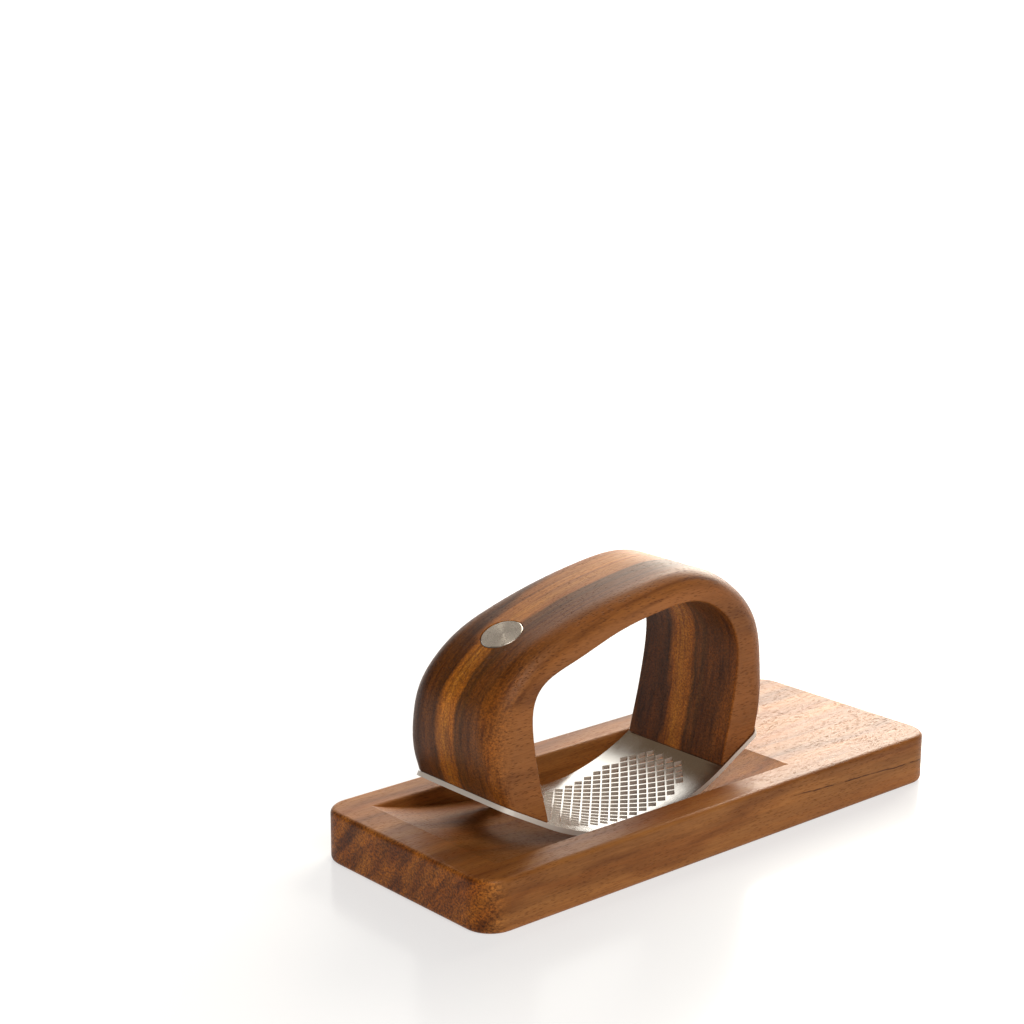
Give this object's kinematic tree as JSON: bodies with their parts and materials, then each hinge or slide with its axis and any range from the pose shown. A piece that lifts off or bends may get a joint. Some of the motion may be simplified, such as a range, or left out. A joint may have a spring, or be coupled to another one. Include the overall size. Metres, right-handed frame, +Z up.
{
  "type": "garlic press",
  "caption": "Rocking garlic press: wooden arch handle on a curved perforated steel plate, standing in the trough of a wooden chopping board.",
  "frame": {"origin": "middle of the board's underside", "axes": "+X along the board, away from the press's end, +Z up"},
  "size_m": [0.235, 0.095, 0.1021],
  "materials": {
    "board_wood": "oiled hardwood, light top, satin",
    "handle_wood": "oiled striped hardwood, satin",
    "plate_steel": "satin stainless",
    "disc_steel": "spun stainless",
    "screw_steel": "plain stainless"
  },
  "bodies": {
    "board": {"chopping_board": "board_wood"},
    "press": {"handle": "handle_wood", "press_plate": "plate_steel", "inlay_disc": "disc_steel", "plate_screw_left_front": "screw_steel", "plate_screw_left_back": "screw_steel", "plate_screw_right_front": "screw_steel", "plate_screw_right_back": "screw_steel"}
  },
  "joints": [
    {"name": "rock", "type": "hinge", "parent": "board", "child": "press", "pos_m": [-0.026, 0, 0.10172], "axis": [0, 1, 0], "range_deg": [-22, 22]}
  ]
}
